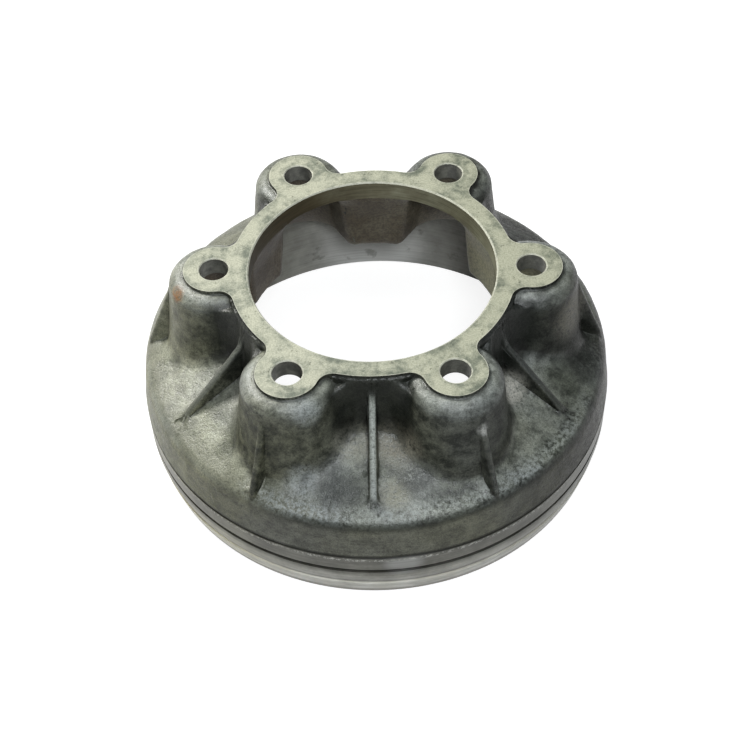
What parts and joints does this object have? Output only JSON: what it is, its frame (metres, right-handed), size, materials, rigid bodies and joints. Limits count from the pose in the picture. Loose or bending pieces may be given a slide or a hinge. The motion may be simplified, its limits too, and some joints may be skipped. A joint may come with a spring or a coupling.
{
  "type": "brake drum",
  "caption": "Cast-iron brake drum: bolting flange on hollow bosses, ribbed sloping shoulder, grooved rim and a smooth friction surface inside.",
  "frame": {"origin": "centre of the mouth, on the face that the drum stands on", "axes": "+Z along the drum's axis, from the mouth to the bolting flange; +X through a stud hole"},
  "size_m": [0.3184, 0.3184, 0.142],
  "materials": {
    "cast_iron": "sand-cast iron with machined flange, bore, rim and friction surface"
  },
  "bodies": {
    "root": {"brake_drum": "cast_iron"}
  },
  "joints": []
}
